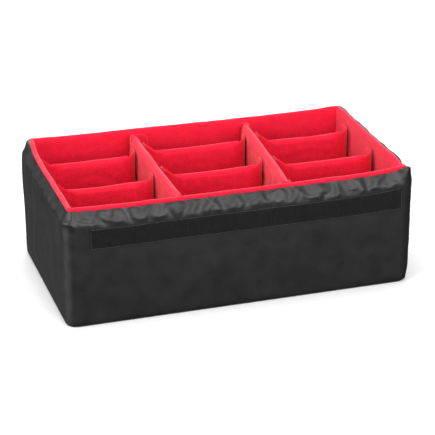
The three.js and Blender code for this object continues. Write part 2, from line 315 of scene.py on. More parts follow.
def foam_material():
    """Closed-cell foam: charcoal, with fine cells and a slightly uneven cut face."""
    material, shader = plain_material("closed-cell foam", (0.085, 0.088, 0.095, 1), 0.85)
    tree = material.node_tree
    place = tree.nodes.new("ShaderNodeTexCoord")
    cells = tree.nodes.new("ShaderNodeTexVoronoi")
    cells.inputs["Scale"].default_value = 1400
    patches = tree.nodes.new("ShaderNodeTexNoise")
    patches.inputs["Scale"].default_value = 60
    shades = tree.nodes.new("ShaderNodeMix")
    shades.data_type = "RGBA"
    shades.inputs[6].default_value = (0.07, 0.072, 0.078, 1)
    shades.inputs[7].default_value = (0.105, 0.108, 0.115, 1)
    bump = tree.nodes.new("ShaderNodeBump")
    bump.inputs["Strength"].default_value = 0.5
    bump.inputs["Distance"].default_value = 0.0004
    tree.links.new(place.outputs["Object"], cells.inputs["Vector"])
    tree.links.new(place.outputs["Object"], patches.inputs["Vector"])
    tree.links.new(patches.outputs["Fac"], shades.inputs[0])
    tree.links.new(shades.outputs[2], shader.inputs["Base Color"])
    tree.links.new(cells.outputs["Distance"], bump.inputs["Height"])
    tree.links.new(bump.outputs["Normal"], shader.inputs["Normal"])
    return material


foam = foam_material()

for side in ("front", "back", "left", "right", "base"):
    node = f"foam_board_{side}"
    low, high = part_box(node)
    board = block(f"{side}_board", low, high)
    if side != "base":
        cut_along(board, 2, 15)
        cut_along(board, 0 if side in ("front", "back") else 1, 23)
    pick(board, "EDGE", lambda middle, way: abs(way.z) > 0.99 and side not in ("left", "right")
         and (abs(middle.x) > 0.24 and (side == "base" or abs(middle.y - SHELL_MIDDLE_Y) > 0.13)))
    bpy.ops.mesh.bevel(offset=BOARD_CORNER, segments=4)
    close()
    points = points_of(board)
    if side != "base":
        height = points[:, 2].copy()
        raised = np.clip(height - SHOULDER_START_Z, 0, None)
        points[:, 2] = np.minimum(height, SHOULDER_START_Z) + BOARD_TOP_SHARE * raised
        outward = points[:, :2] - np.array([0, SHELL_MIDDLE_Y])
        outer_x = np.clip((np.abs(outward[:, 0]) - BOARD_INSIDE_X) / BOARD_THICK, 0, 1)
        outer_y = np.clip((np.abs(outward[:, 1]) - BOARD_INSIDE_Y) / BOARD_THICK, 0, 1)
        drawn = shoulder_inset(points[:, 2] + 1.5 * MM) + BOARD_CLEAR
        points[:, 0] -= np.sign(outward[:, 0]) * outer_x * drawn
        points[:, 1] -= np.sign(outward[:, 1]) * outer_y * drawn
    # The board's plan is rounded to lie inside the cloth at the corners.
    middle = np.array([0, SHELL_MIDDLE_Y])
    straight = np.array([SHELL_HALF_X, SHELL_HALF_Y]) - WRAP_CORNER
    nearest = np.clip(points[:, :2] - middle, -straight, straight) + middle
    away = points[:, :2] - nearest
    room = WRAP_CORNER - BOARD_CLEAR - shoulder_inset(points[:, 2] + 1.5 * MM)
    far = np.maximum(np.linalg.norm(away, axis=1), 1e-9)
    points[:, :2] = nearest + away * np.minimum(1, room / far)[:, None]
    put_points(board, settle(points))
    finish_with(board, "BEVEL", width=0.8 * MM, segments=2, limit_method="ANGLE",
                angle_limit=math.radians(40))
    board.data.materials.append(foam)
    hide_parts(node)
    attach(board, "shell")

# ---------------------------------------------------------------------------------------------
# Outer wrap: one strip of coated black nylon that goes round the four sides, turned under the
# bottom and pulled over the top of the boards to a gathered seam with the lining.
WRAP_COLUMN = 4.6 * MM
NYLON_THICK = 1.0 * MM
BOTTOM_TURN = [(6.0, 1.3), (2.6, 0.9), (0.9, 1.8), (0.2, 4.5), (0, 9)]
PLAIN_WALL = [(0, z) for z in (22, 36, 50, 64, 78, 90, 101, 110, 117, 123, 128, 133, 138, 142.5)]
SEAM_TURN = [(8.4, 170.3), (9.3, 169.9), (9.9, 168.6)]
GATHER = 0.032
GATHER_OUT = 2.0 * MM
GATHER_IN = 1.5 * MM
GATHER_ALONG = 2.5 * MM
PUCKER_FROM = 152 * MM
RIDGE_Z, RIDGE_STAND = 154 * MM, 2.3
FRILL_Z, FRILL_STAND = 152.5 * MM, 0.9
CORNER_TIP_REACH = 13 * MM
SEAM_DRAWN = 3.4 * MM
TIGHT_SEAM_UP = 2.3 * MM
SETTLING_FRAMES = 20


def ring_plan(points, half_x, half_y, radius):
    """For points of a ring, the nearest places on a rounded rectangle and the ways out of it."""
    x, y = points[:, 0], points[:, 1] - SHELL_MIDDLE_Y
    inner_x = np.clip(x, -(half_x - radius), half_x - radius)
    inner_y = np.clip(y, -(half_y - radius), half_y - radius)
    away = np.stack([x - inner_x, y - inner_y], 1)
    away /= np.maximum(np.linalg.norm(away, axis=1), 1e-9)[:, None]
    edge = np.stack([inner_x, inner_y + SHELL_MIDDLE_Y], 1) + radius * away
    return edge, away


def band(name, half_x, half_y, radius, section, column):
    """An open band round a rounded rectangle, with its section of (inset, height) points in
    millimetres. Its UV map runs round the band and up the section, in metres."""
    rows = len(section) - 1
    low = (-half_x, SHELL_MIDDLE_Y - half_y, 0)
    piece = block(name, low, (half_x, SHELL_MIDDLE_Y + half_y, rows))
    pick(piece, "FACE", lambda middle, normal: abs(normal.z) > 0.9)
    bpy.ops.mesh.delete(type="ONLY_FACE")
    close()
    pick(piece, "EDGE", lambda middle, way: abs(way.z) > 0.9)
    bpy.ops.mesh.bevel(offset=radius, segments=4)
    close()
    cut_along(piece, 2, rows - 1)
    cut_along(piece, 0, round(2 * (half_x - radius) / column) - 1)
    cut_along(piece, 1, round(2 * (half_y - radius) / column) - 1)
    points = points_of(piece)
    row = np.round(points[:, 2]).astype(int)
    insets, heights = (np.array(column_of) * MM for column_of in zip(*section))
    edge, away = ring_plan(points, half_x, half_y, radius)
    angle = np.arctan2(points[:, 1] - SHELL_MIDDLE_Y, points[:, 0])
    points[:, :2] = edge - insets[row][:, None] * away
    points[:, 2] = heights[row]
    put_points(piece, points)
    climbed = np.concatenate([[0], np.cumsum(np.hypot(np.diff(insets), np.diff(heights)))])
    turn = angle / (2 * np.pi)
    length = 4 * (half_x + half_y)
    layer = piece.data.uv_layers.active or piece.data.uv_layers.new(name="cloth")
    for face in piece.data.polygons:
        corners = [piece.data.loops[i].vertex_index for i in face.loop_indices]
        turns = turn[corners]
        if turns.max() - turns.min() > 0.5:
            turns = np.where(turns < 0, turns + 1, turns)
        for loop, share, vertex in zip(face.loop_indices, turns, corners):
            layer.data[loop].uv = (share * length, climbed[row[vertex]])
    piece.data.update()
    return piece, row


def hold(piece, weights, name="held"):
    """A vertex group for the simulation, from 0, free, to 1, held fast."""
    group = piece.vertex_groups.new(name=name)
    for i, weight in enumerate(weights):
        group.add([i], float(weight), "REPLACE")
    return group.name


def settle_cloth(piece, held, grow=0.0, pressure=0.0, stiff=15.0, bending=0.5, quality=5):
    """Run the cloth simulation on a piece and keep its last frame."""
    alone(piece)
    modifier = piece.modifiers.new("Cloth", "CLOTH")
    cloth = modifier.settings
    cloth.quality = quality
    cloth.mass = 0.15
    cloth.tension_stiffness = cloth.compression_stiffness = stiff
    cloth.shear_stiffness = stiff / 3
    cloth.bending_stiffness = bending
    cloth.effector_weights.gravity = 0
    cloth.shrink_min = cloth.shrink_max = -grow
    if pressure:
        cloth.use_pressure = True
        cloth.uniform_pressure_force = pressure
    if held:
        cloth.vertex_group_mass = held
        cloth.pin_stiffness = 1
    modifier.collision_settings.use_collision = False
    modifier.collision_settings.use_self_collision = False
    for step in range(1, SETTLING_FRAMES + 1):
        bpy.context.scene.frame_set(step)
    bpy.ops.object.modifier_apply(modifier=modifier.name)
    bpy.context.scene.frame_set(1)


def smooth_finish(piece, levels):
    if levels:
        finish_with(piece, "SUBSURF", levels=levels, render_levels=levels)
    alone(piece)
    bpy.ops.object.shade_smooth()


def nylon_material():
    """Coated pack cloth: a fine plain weave, a soft shine that varies where it is creased, and
    small slanting puckers where it is drawn into the rim seam."""
    material, shader = plain_material("black nylon", (0.021, 0.0205, 0.0205, 1), 0.5)
    shader.inputs["Sheen Weight"].default_value = 0.06
    shader.inputs["Sheen Roughness"].default_value = 0.35
    shader.inputs["Specular IOR Level"].default_value = 0.5
    tree = material.node_tree
    cloth = tree.nodes.new("ShaderNodeUVMap")
    cloth.uv_map = "cloth"
    place = tree.nodes.new("ShaderNodeTexCoord")
    heights = []
    for direction in ("X", "Y"):
        threads = tree.nodes.new("ShaderNodeTexWave")
        threads.bands_direction = direction
        threads.wave_profile = "SIN"
        threads.inputs["Scale"].default_value = 380
        threads.inputs["Distortion"].default_value = 0.6
        threads.inputs["Detail"].default_value = 1
        tree.links.new(cloth.outputs["UV"], threads.inputs["Vector"])
        heights.append(threads)
    weave = tree.nodes.new("ShaderNodeMath")
    weave.operation = "MULTIPLY"
    tree.links.new(heights[0].outputs["Fac"], weave.inputs[0])
    tree.links.new(heights[1].outputs["Fac"], weave.inputs[1])
    creases = tree.nodes.new("ShaderNodeTexNoise")
    creases.inputs["Scale"].default_value = 42
    creases.inputs["Detail"].default_value = 5
    creases.inputs["Roughness"].default_value = 0.6
    tree.links.new(place.outputs["Object"], creases.inputs["Vector"])
    fine = tree.nodes.new("ShaderNodeBump")
    fine.inputs["Strength"].default_value = 0.35
    fine.inputs["Distance"].default_value = 0.00012
    tree.links.new(weave.outputs["Value"], fine.inputs["Height"])
    soft = tree.nodes.new("ShaderNodeBump")
    soft.inputs["Strength"].default_value = 0.2
    soft.inputs["Distance"].default_value = 0.0009
    tree.links.new(creases.outputs["Fac"], soft.inputs["Height"])
    tree.links.new(fine.outputs["Normal"], soft.inputs["Normal"])
    turned = tree.nodes.new("ShaderNodeMapping")
    turned.inputs["Rotation"].default_value = (0, 0, math.radians(-24))
    turned.inputs["Scale"].default_value = (150, 42, 1)
    tree.links.new(cloth.outputs["UV"], turned.inputs["Vector"])
    puckers = tree.nodes.new("ShaderNodeTexNoise")
    puckers.inputs["Scale"].default_value = 1
    puckers.inputs["Detail"].default_value = 2.5
    puckers.inputs["Distortion"].default_value = 0.2
    tree.links.new(turned.outputs["Vector"], puckers.inputs["Vector"])
    up_the_cloth = tree.nodes.new("ShaderNodeSeparateXYZ")
    tree.links.new(cloth.outputs["UV"], up_the_cloth.inputs["Vector"])
    at_seam = tree.nodes.new("ShaderNodeMapRange")
    at_seam.inputs["From Min"].default_value = PUCKER_FROM
    at_seam.inputs["From Max"].default_value = PUCKER_FROM + 6 * MM
    at_seam.inputs["To Max"].default_value = 0.75
    tree.links.new(up_the_cloth.outputs["Y"], at_seam.inputs["Value"])
    drawn = tree.nodes.new("ShaderNodeBump")
    drawn.inputs["Distance"].default_value = 0.0035
    tree.links.new(at_seam.outputs["Result"], drawn.inputs["Strength"])
    tree.links.new(puckers.outputs["Fac"], drawn.inputs["Height"])
    tree.links.new(soft.outputs["Normal"], drawn.inputs["Normal"])
    tree.links.new(drawn.outputs["Normal"], shader.inputs["Normal"])
    shine = tree.nodes.new("ShaderNodeMapRange")
    shine.inputs["From Min"].default_value = 0.3
    shine.inputs["From Max"].default_value = 0.7
    shine.inputs["To Min"].default_value = 0.4
    shine.inputs["To Max"].default_value = 0.56
    tree.links.new(creases.outputs["Fac"], shine.inputs["Value"])
    tree.links.new(shine.outputs["Result"], shader.inputs["Roughness"])
    shades = tree.nodes.new("ShaderNodeMix")
    shades.data_type = "RGBA"
    shades.inputs[6].default_value = (0.0098, 0.0086, 0.0086, 1)
    shades.inputs[7].default_value = (0.0128, 0.0114, 0.0114, 1)
    tree.links.new(creases.outputs["Fac"], shades.inputs[0])
    tree.links.new(shades.outputs[2], shader.inputs["Base Color"])
    return material


# The rows of the shoulder, up to just under the seam.
shoulder = []
for step in range(1, 9):
    z = SHOULDER_START_Z + SHOULDER_TALL * step / 8.4
    shoulder.append((float(shoulder_inset(z)) / MM, z / MM))
wrap_section = BOTTOM_TURN + PLAIN_WALL + shoulder + SEAM_TURN
wrap, wrap_row = band("nylon_wrap", SHELL_HALF_X, SHELL_HALF_Y, WRAP_CORNER, wrap_section, WRAP_COLUMN)


def wall_waves(points):
    """How far a wall's cloth stands out or in: broad soft waves, steeper on the short walls, that
    die out at the corners and the seam, and a ridge under the rim of the left wall."""
    x, y, z = points[:, 0], points[:, 1], points[:, 2]
    broad = cloudy(points, 0.085, 3) * 0.7
    slanting = np.stack([x + 0.6 * z, y, z - 0.5 * x], 1)
    slanted = cloudy(slanting, 0.045, 5, stretch=(0.8, 1, 2.2)) * 0.45
    folds = cloudy(points, 0.03, 7, stretch=(1, 1, 5)) * 1.2 * (np.abs(x) > 0.235)
    at_corner = ease(np.abs(x), 0.222, 0.247) * ease(np.abs(y - SHELL_MIDDLE_Y), 0.108, 0.133)
    ridge = near(z - RIDGE_Z, 4 * MM) * ease(-x, 0.235, 0.245)
    ridge *= RIDGE_STAND + cloudy(points, 0.016, 9)
    at_seam = ease(z, 0.152, 0.167)
    waves = (broad + slanted + folds) * (1 - 0.85 * at_corner) * (1 - 0.85 * at_seam)
    return (waves + ridge) * MM * ease(z, 0.006, 0.05)


# The shoulder is looser along the front and the left. At the back, at the right and at the front
# right corner the cloth is drawn up tight over the board, and a frill overhangs the hook tape.
flat_points = points_of(wrap)
edge, outward = ring_plan(flat_points, SHELL_HALF_X, SHELL_HALF_Y, WRAP_CORNER)
settled = settle(flat_points)
to_back = ease(flat_points[:, 1], 0.07, 0.125)
to_right = ease(flat_points[:, 0], 0.215, 0.24) * ease(flat_points[:, 1], -0.125, -0.09)
corner_tip = near(SHELL_HALF_X - edge[:, 0], CORNER_TIP_REACH)
corner_tip *= near(edge[:, 1] - SHELL_MIDDLE_Y + SHELL_HALF_Y, CORNER_TIP_REACH)
tight = np.maximum(np.maximum(to_back, to_right), corner_tip)
first_seam_row = len(wrap_section) - len(SEAM_TURN)
drawn = shoulder_inset(flat_points[:, 2]) * (wrap_row < first_seam_row)
drawn += SEAM_DRAWN * (wrap_row == first_seam_row)
frill = near(flat_points[:, 2] - FRILL_Z, 3.6 * MM) * ease(-flat_points[:, 1], 0.12, 0.13)
frill *= FRILL_STAND + 1.1 * cloudy(flat_points, 0.011, 19) + 0.7 * cloudy(flat_points, 0.03, 23)
stand_out = np.maximum(0.55 * tight, 1.4 * corner_tip) * drawn
settled[:, :2] += outward * (wall_waves(flat_points) + stand_out + frill * MM)[:, None]
settled[:, 2] += TIGHT_SEAM_UP * tight * ease(flat_points[:, 2], 0.156, 0.168)
put_points(wrap, settled)

# It is held to the board up to the shoulder, and fast along the seam and the bottom turn.
height = flat_points[:, 2]
under_tape = (flat_points[:, 1] < -0.12) & (np.abs(flat_points[:, 0]) < 0.24)
free_from = np.where(under_tape, 0.144, 0.128)
held_weight = 1 - ease(height, free_from, free_from + 0.012)
corner = (np.abs(flat_points[:, 0]) > 0.238) & (np.abs(flat_points[:, 1] - SHELL_MIDDLE_Y) > 0.125)
held_weight = np.where(corner & (height > 0.012) & (height < 0.14), 0.6, held_weight)
held_weight = np.where(wrap_row >= first_seam_row, 1.0, held_weight)
held_weight = np.where(wrap_row < len(BOTTOM_TURN), 1.0, held_weight)
settle_cloth(wrap, hold(wrap, held_weight), grow=GATHER, pressure=0.6, stiff=12, bending=0.12)
moved = points_of(wrap) - settled
out = (moved[:, :2] * outward).sum(1)
along = moved - np.column_stack([outward * out[:, None], np.zeros(len(out))])
length = np.linalg.norm(along, axis=1)
along *= (np.minimum(length, GATHER_ALONG) / np.maximum(length, 1e-9))[:, None]
out = np.clip(out, -GATHER_IN, GATHER_OUT) * (1 - 0.85 * tight)
put_points(wrap, settled + along + np.column_stack([outward * out[:, None], np.zeros(len(out))]))
wrap.vertex_groups.clear()
smooth_finish(wrap, 1)
finish_with(wrap, "SOLIDIFY", thickness=NYLON_THICK, offset=-1, use_rim=True)
nylon = nylon_material()
wrap.data.materials.append(nylon)
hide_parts("outer_wrap")
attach(wrap, "shell")

# ---------------------------------------------------------------------------------------------
# Outer base: a panel of the same nylon under the base board, sewn to the wrap all round.
BASE_CORNER = 13.5 * MM
base_inset = Vector((2.5 * MM, 2.5 * MM, 0))
low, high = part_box("outer_base_panel")
base = block("nylon_base", low + base_inset, high - base_inset)
pick(base, "EDGE", lambda middle, way: abs(way.z) > 0.9)
bpy.ops.mesh.bevel(offset=BASE_CORNER, segments=4)
close()
pick(base, "FACE", lambda middle, normal: abs(normal.z) > 0.9)
bpy.ops.mesh.inset(thickness=6 * MM)
close()
finish_with(base, "BEVEL", width=0.4 * MM, segments=2, limit_method="ANGLE",
            angle_limit=math.radians(40))
base_layer = base.data.uv_layers.active
base_layer.name = "cloth"
for loop in base.data.loops:
    base_layer.data[loop.index].uv = base.data.vertices[loop.vertex_index].co.xy
base.data.materials.append(nylon)
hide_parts("outer_base_panel")
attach(base, "shell")

# ---------------------------------------------------------------------------------------------
# Lining: brushed loop cloth, one strip round the inside of the walls that laps over their top
# edge to the seam, and a panel on the floor. Hook tape holds anywhere on it.
LINING_HALF_X = SHELL_HALF_X - 10.8 * MM
LINING_HALF_Y = SHELL_HALF_Y - 10.8 * MM
LINING_CORNER = 4.5 * MM
LIP_TURN = [(-0.6, 167.6), (-1.5, 168.8), (-2.1, 169.8), (-2.1, 170.8), (-1.7, 171.6), (-0.9, 172.1)]
LIP_TOP = [(0.1, 172.2), (1.2, 171.7), (2.1, 170.5), (2.6, 168.8), (2.85, 166.5), (2.9, 163)]
LINING_WALL = [(2.9, z) for z in range(157, 12, -8)] + [(2.8, 11.5)]
LINING_THICK = 1.6 * MM


def loop_material():
    """Brushed loop cloth: a deep red pile that catches the light at a slant, a little uneven
    where it has been rubbed."""
    material, shader = plain_material("red brushed loop", (0.62, 0.006, 0.022, 1), 0.9)
    shader.inputs["Sheen Weight"].default_value = 0.42
    shader.inputs["Sheen Roughness"].default_value = 0.42
    shader.inputs["Sheen Tint"].default_value = (1.0, 0.6, 0.64, 1)
    shader.inputs["Specular IOR Level"].default_value = 0.15
    tree = material.node_tree
    place = tree.nodes.new("ShaderNodeTexCoord")
    rubbed = tree.nodes.new("ShaderNodeTexNoise")
    rubbed.inputs["Scale"].default_value = 95
    rubbed.inputs["Detail"].default_value = 3
    loops = tree.nodes.new("ShaderNodeTexNoise")
    loops.inputs["Scale"].default_value = 620
    loops.inputs["Detail"].default_value = 3
    loops.inputs["Roughness"].default_value = 0.65
    fibres = tree.nodes.new("ShaderNodeTexNoise")
    fibres.inputs["Scale"].default_value = 2600
    fibres.inputs["Detail"].default_value = 2
    for node in (rubbed, loops, fibres):
        tree.links.new(place.outputs["Object"], node.inputs["Vector"])
    height = tree.nodes.new("ShaderNodeMath")
    height.operation = "MULTIPLY_ADD"
    height.inputs[1].default_value = 0.3
    tree.links.new(fibres.outputs["Fac"], height.inputs[0])
    tree.links.new(loops.outputs["Fac"], height.inputs[2])
    pile = tree.nodes.new("ShaderNodeBump")
    pile.inputs["Strength"].default_value = 0.55
    pile.inputs["Distance"].default_value = 0.0008
    tree.links.new(height.outputs["Value"], pile.inputs["Height"])
    tree.links.new(pile.outputs["Normal"], shader.inputs["Normal"])
    mixed = tree.nodes.new("ShaderNodeMath")
    mixed.operation = "MULTIPLY_ADD"
    mixed.inputs[1].default_value = 0.35
    tree.links.new(rubbed.outputs["Fac"], mixed.inputs[0])
    tree.links.new(loops.outputs["Fac"], mixed.inputs[2])
    shades = tree.nodes.new("ShaderNodeValToRGB")
    shades.color_ramp.elements[0].position = 0.4
    shades.color_ramp.elements[0].color = (0.60, 0.005, 0.026, 1)
    shades.color_ramp.elements[1].position = 0.95
    shades.color_ramp.elements[1].color = (0.90, 0.014, 0.05, 1)
    tree.links.new(mixed.outputs["Value"], shades.inputs["Fac"])
    tree.links.new(shades.outputs["Color"], shader.inputs["Base Color"])
    return material


loop_cloth = loop_material()
lining_section = LIP_TURN + LIP_TOP + LINING_WALL
lining, _ = band("wall_lining", LINING_HALF_X, LINING_HALF_Y, LINING_CORNER, lining_section, 5 * MM)
flat_points = points_of(lining)
_, outward = ring_plan(flat_points, LINING_HALF_X, LINING_HALF_Y, LINING_CORNER)
settled = settle(flat_points)
rumple = cloudy(flat_points * np.array([1, 1, 1.6]) + flat_points[:, [2, 2, 0]] * 0.7, 0.035, 11) * 0.55
rumple += cloudy(flat_points, 0.014, 13) * 0.18
settled[:, :2] += outward * (rumple * MM * ease(flat_points[:, 2], 0.02, 0.06))[:, None]
settled[:, 2] += cloudy(flat_points, 0.03, 15) * 0.35 * MM * ease(flat_points[:, 2], 0.16, 0.169)
put_points(lining, settled)
pick(lining, "FACE", lambda middle, normal: True)
bpy.ops.mesh.flip_normals()
close()
smooth_finish(lining, 1)
finish_with(lining, "SOLIDIFY", thickness=LINING_THICK, offset=-1, use_rim=True)
lining.data.materials.append(loop_cloth)
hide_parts("lining_wrap")
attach(lining, "shell")

low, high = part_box("lining_base_panel")
floor_lining = block("floor_lining", low, high)
cut_along(floor_lining, 0, 59)
cut_along(floor_lining, 1, 31)
pick(floor_lining, "FACE", lambda middle, normal: normal.z > 0.9)
bpy.ops.mesh.inset(thickness=2 * MM)
close()
points = points_of(floor_lining)
points[:, 2] -= (points[:, 2] > low.z + 1e-4) * (0.35 + 0.3 * cloudy(points, 0.03, 21)) * MM
put_points(floor_lining, points)
finish_with(floor_lining, "BEVEL", width=0.6 * MM, segments=2, limit_method="ANGLE", angle_limit=0.7)
smooth_finish(floor_lining, 0)
floor_lining.data.materials.append(loop_cloth)
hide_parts("lining_base_panel")
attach(floor_lining, "shell")

# ---------------------------------------------------------------------------------------------
# Front hook strip: a length of hook tape sewn across the front wall, close to the rim. It has a
# plain edge for the stitches, and rows of hooks between them.
TAPE_EDGE = 2.2 * MM
ROW_PITCH = 2.4 * MM
ROW_WIDE = 1.2 * MM
HOOK_TALL = 0.75 * MM
STITCH_LONG = 2.7 * MM
STITCH_PITCH = 3.7 * MM
STITCH_THICK = 0.55 * MM


def hook_material():
    """Moulded hook tape: dull black nylon, glossy only at the tips of the hooks."""
    material, shader = plain_material("hook tape", (0.012, 0.0117, 0.0117, 1), 0.55)
    shader.inputs["Specular IOR Level"].default_value = 0.22
    tree = material.node_tree
    place = tree.nodes.new("ShaderNodeTexCoord")
    tips = tree.nodes.new("ShaderNodeTexVoronoi")
    tips.inputs["Scale"].default_value = 1100
    uneven = tree.nodes.new("ShaderNodeTexNoise")
    uneven.inputs["Scale"].default_value = 70
    uneven.inputs["Detail"].default_value = 4
    for node in (tips, uneven):
        tree.links.new(place.outputs["Object"], node.inputs["Vector"])
    bump = tree.nodes.new("ShaderNodeBump")
    bump.inputs["Strength"].default_value = 0.7
    bump.inputs["Distance"].default_value = 0.0004
    tree.links.new(tips.outputs["Distance"], bump.inputs["Height"])
    tree.links.new(bump.outputs["Normal"], shader.inputs["Normal"])
    shades = tree.nodes.new("ShaderNodeMix")
    shades.data_type = "RGBA"
    shades.inputs[6].default_value = (0.005, 0.0047, 0.0047, 1)
    shades.inputs[7].default_value = (0.011, 0.0104, 0.0104, 1)
    tree.links.new(uneven.outputs["Fac"], shades.inputs[0])
    tree.links.new(shades.outputs[2], shader.inputs["Base Color"])
    return material


def thread_material():
    """Bonded sewing thread, a little paler than the cloth, with its twist."""
    material, shader = plain_material("sewing thread", (0.05, 0.048, 0.047, 1), 0.5)
    tree = material.node_tree
    place = tree.nodes.new("ShaderNodeTexCoord")
    twist = tree.nodes.new("ShaderNodeTexWave")
    twist.bands_direction = "DIAGONAL"
    twist.inputs["Scale"].default_value = 700
    bump = tree.nodes.new("ShaderNodeBump")
    bump.inputs["Strength"].default_value = 0.6
    bump.inputs["Distance"].default_value = 0.0001
    tree.links.new(place.outputs["Object"], twist.inputs["Vector"])
    tree.links.new(twist.outputs["Fac"], bump.inputs["Height"])
    tree.links.new(bump.outputs["Normal"], shader.inputs["Normal"])
    return material


def repeat(piece, count, step):
    """Copy a piece in a row, all in one mesh."""
    if count > 1:
        finish_with(piece, "ARRAY", count=count, use_relative_offset=False, use_constant_offset=True,
                    constant_offset_displace=step)


def join(pieces):
    alone(pieces[0])
    for piece in pieces[1:]:
        piece.select_set(True)
    bpy.ops.object.join()
    return bpy.context.object


def hook_rows(name, low, high):
    """Rows of hooks that stand towards -Y from a tape's face at high.y, up to low.y."""
    row = block(name, (low.x, low.y, low.z), (low.x + ROW_WIDE, high.y, high.z))
    hooks = int((high.z - low.z) / (1.25 * MM))
    cut_along(row, 2, 2 * hooks - 1)
    points = points_of(row)
    level = np.round((points[:, 2] - low.z) / (high.z - low.z) * 2 * hooks).astype(int)
    tip = points[:, 1] < (low.y + high.y) / 2
    points[:, 1] += np.where(tip & (level % 2 == 0), 0.55 * (high.y - low.y), 0)
    points[:, 0] += np.where(tip, 0.25, 0) * (low.x + ROW_WIDE / 2 - points[:, 0]) * 2
    put_points(row, points)
    repeat(row, int((high.x - low.x) / ROW_PITCH), (ROW_PITCH, 0, 0))
    return row


def stitch_line(name, start, way, length):
    """A line of stitches proud of a face that looks towards -Y."""
    way = Vector(way)
    half = Vector((1, 1, 1)) * STITCH_THICK / 2
    start = Vector(start)
    stitch = block(name, start - half, start + way * STITCH_LONG + half)
    cut_along(stitch, 0 if way.x else 2, 2)
    finish_with(stitch, "BEVEL", width=STITCH_THICK * 0.3, segments=1)
    repeat(stitch, int(length / STITCH_PITCH), way * STITCH_PITCH)
    return stitch


def lay_on_front(points):
    """Carry points from the flat front plane onto the settled front wall."""
    wall_y = SHELL_MIDDLE_Y - SHELL_HALF_Y
    on_wall = points.copy()
    on_wall[:, 1] = wall_y
    laid = settle(on_wall)
    laid[:, 1] += points[:, 1] - wall_y - wall_waves(on_wall)
    return laid


hook_tape = hook_material()
thread = thread_material()
low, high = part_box("front_hook_strip")
low.y, high.y = high.y - 1.0 * MM, high.y + 0.25 * MM
tape = block("front_hook_tape", low, high)
cut_along(tape, 0, 119)
cut_along(tape, 2, 7)
finish_with(tape, "BEVEL", width=0.3 * MM, segments=2, limit_method="ANGLE", angle_limit=0.7)
rows = hook_rows(
    "front_hook_rows",
    Vector((low.x + 1.6 * TAPE_EDGE, low.y - HOOK_TALL, low.z + TAPE_EDGE)),
    Vector((high.x - 1.2 * TAPE_EDGE, low.y + 0.1 * MM, high.z - TAPE_EDGE)),
)
for piece in (tape, rows):
    put_points(piece, lay_on_front(points_of(piece)))
    piece.data.materials.append(hook_tape)
    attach(piece, "shell")
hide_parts("front_hook_strip")

inset = TAPE_EDGE / 2
face_y = low.y - STITCH_THICK * 0.2
wide = high.x - low.x - 2 * inset
tall = high.z - low.z - 2 * inset
stitches = join([
    stitch_line("front_tape_stitches", (low.x + inset, face_y, low.z + inset), (1, 0, 0), wide),
    stitch_line("top_stitches", (low.x + inset, face_y, high.z - inset), (1, 0, 0), wide),
    stitch_line("left_stitches", (low.x + inset, face_y, low.z + inset), (0, 0, 1), tall),
    stitch_line("right_stitches", (high.x - inset, face_y, low.z + inset), (0, 0, 1), tall),
])
put_points(stitches, lay_on_front(points_of(stitches)))
stitches.data.materials.clear()
stitches.data.materials.append(thread)
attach(stitches, "shell")

# ---------------------------------------------------------------------------------------------
# Dividers: foam boards in a sewn cover of the loop cloth. Two long ones run from front to back,
# and six short ones stand between them. The ends thin down to the seam where a tab is sewn on.
PAD_CELL = 4.2 * MM
END_THICK = 4.0 * MM
PAD_SWELL = 1.3 * MM


def plan_of(divider):
    """A divider's place: the hinge lines of its two tabs, its long way, its thick way towards the
    side that the tabs fold to, and its cover's extent along those ways and up."""
    ends = [j for j in frame["joints"] if j["parent"] == f"{divider}_divider"]
    ends.sort(key=lambda j: (j["child"].endswith(("_right_flap", "_back_flap"))))
    first, second = (np.array(j["pos_m"][:2]) for j in ends)
    long_way = (second - first) / np.linalg.norm(second - first)
    thick_way = np.array([-long_way[1], long_way[0]])
    tab_low, tab_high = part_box(ends[0]["child"].replace("_flap", "_tab"))
    tab_middle = np.array((tab_low + tab_high)[:2]) / 2
    fold = 1 if (tab_middle - first) @ thick_way > 0 else -1
    thick_way = thick_way * fold
    cover = np.array([v.co for v in frame["nodes"][f"{divider}_cover"].data.vertices])
    along = (cover[:, :2] - first) @ long_way
    through = (cover[:, :2] - first) @ thick_way
    return {
        "first": first, "second": second, "long_way": long_way, "thick_way": thick_way,
        "from": along.min(), "to": along.max(), "near": through.min(), "far": through.max(),
        "bottom": cover[:, 2].min(), "top": cover[:, 2].max(),
        "tabs": [j["child"].replace("_flap", "") for j in ends],
    }


def into_place(points, plan):
    """From a divider's own directions (along, through, up) to the part's frame."""
    placed = points.copy()
    ways = np.stack([plan["long_way"], plan["thick_way"]])
    placed[:, :2] = plan["first"] + points[:, :2] @ ways
    return placed


def facing_out(piece):
    """A mirrored mesh gets its faces turned outwards again."""
    pick(piece, "FACE", lambda middle, normal: True)
    bpy.ops.mesh.normals_make_consistent(inside=False)
    close()


